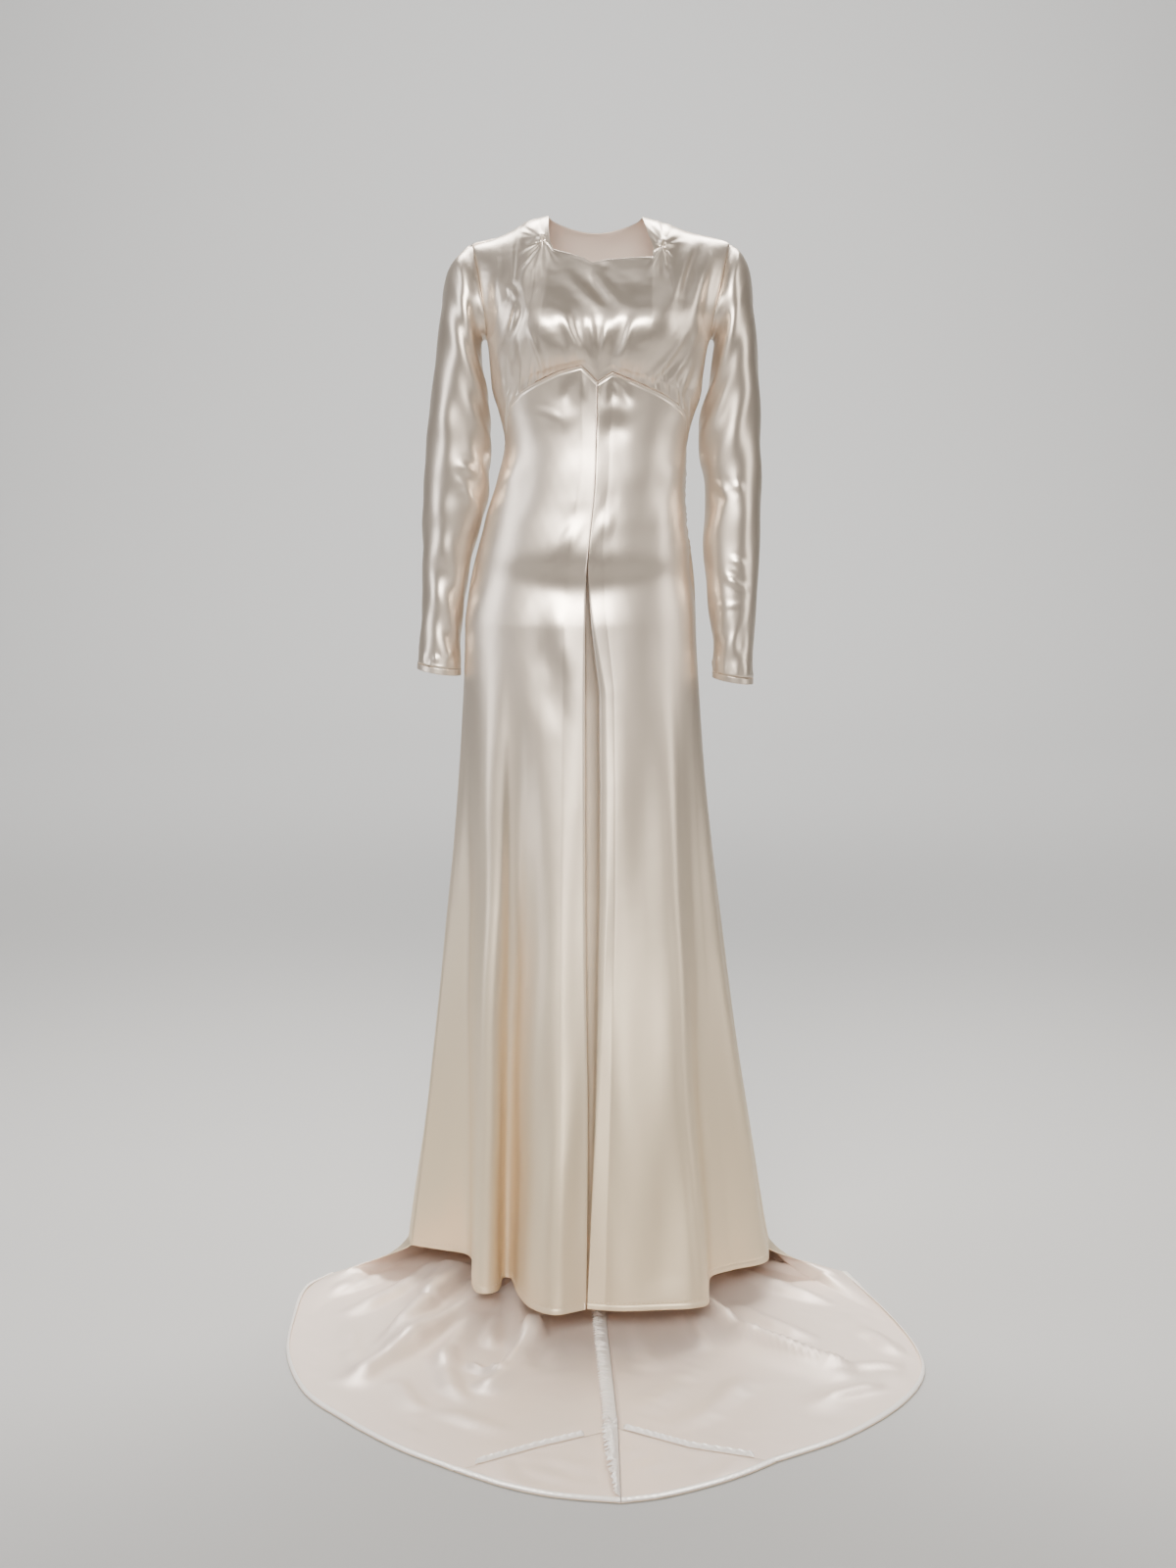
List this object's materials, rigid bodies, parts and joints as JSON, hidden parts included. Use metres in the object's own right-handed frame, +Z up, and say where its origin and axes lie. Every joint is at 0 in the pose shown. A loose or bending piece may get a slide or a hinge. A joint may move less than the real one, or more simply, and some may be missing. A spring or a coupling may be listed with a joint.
{
  "type": "wedding dress",
  "caption": "Long-sleeved satin wedding dress with a gathered bodice, a raised waist seam, a centre pleat and a floor-length skirt with a train.",
  "frame": {"origin": "the point between the shoulders, 1.470 m above the floor, where the wearer holds the dress up", "axes": "+Z up, the wearer faces -Y, the wearer's right is -X"},
  "size_m": [0.8433, 0.9431, 1.482],
  "materials": {
    "satin": "glossy ivory satin, right side",
    "satin_inside": "duller wrong side of the satin"
  },
  "bodies": {
    "root": {"bodice_front": "satin", "bodice_back": "satin", "skirt_front_right": "satin", "skirt_front_left": "satin", "skirt_back_right": "satin", "skirt_back_left": "satin", "sleeve_right": "satin", "sleeve_left": "satin", "cuff_right": "satin", "cuff_left": "satin", "train_tip_right": "satin_inside", "train_tip_left": "satin_inside", "back_seam_allowance": "satin_inside", "piecing_allowance_right": "satin_inside", "piecing_allowance_left": "satin_inside", "train_hem_right": "satin_inside", "train_hem_left": "satin_inside"}
  },
  "joints": []
}
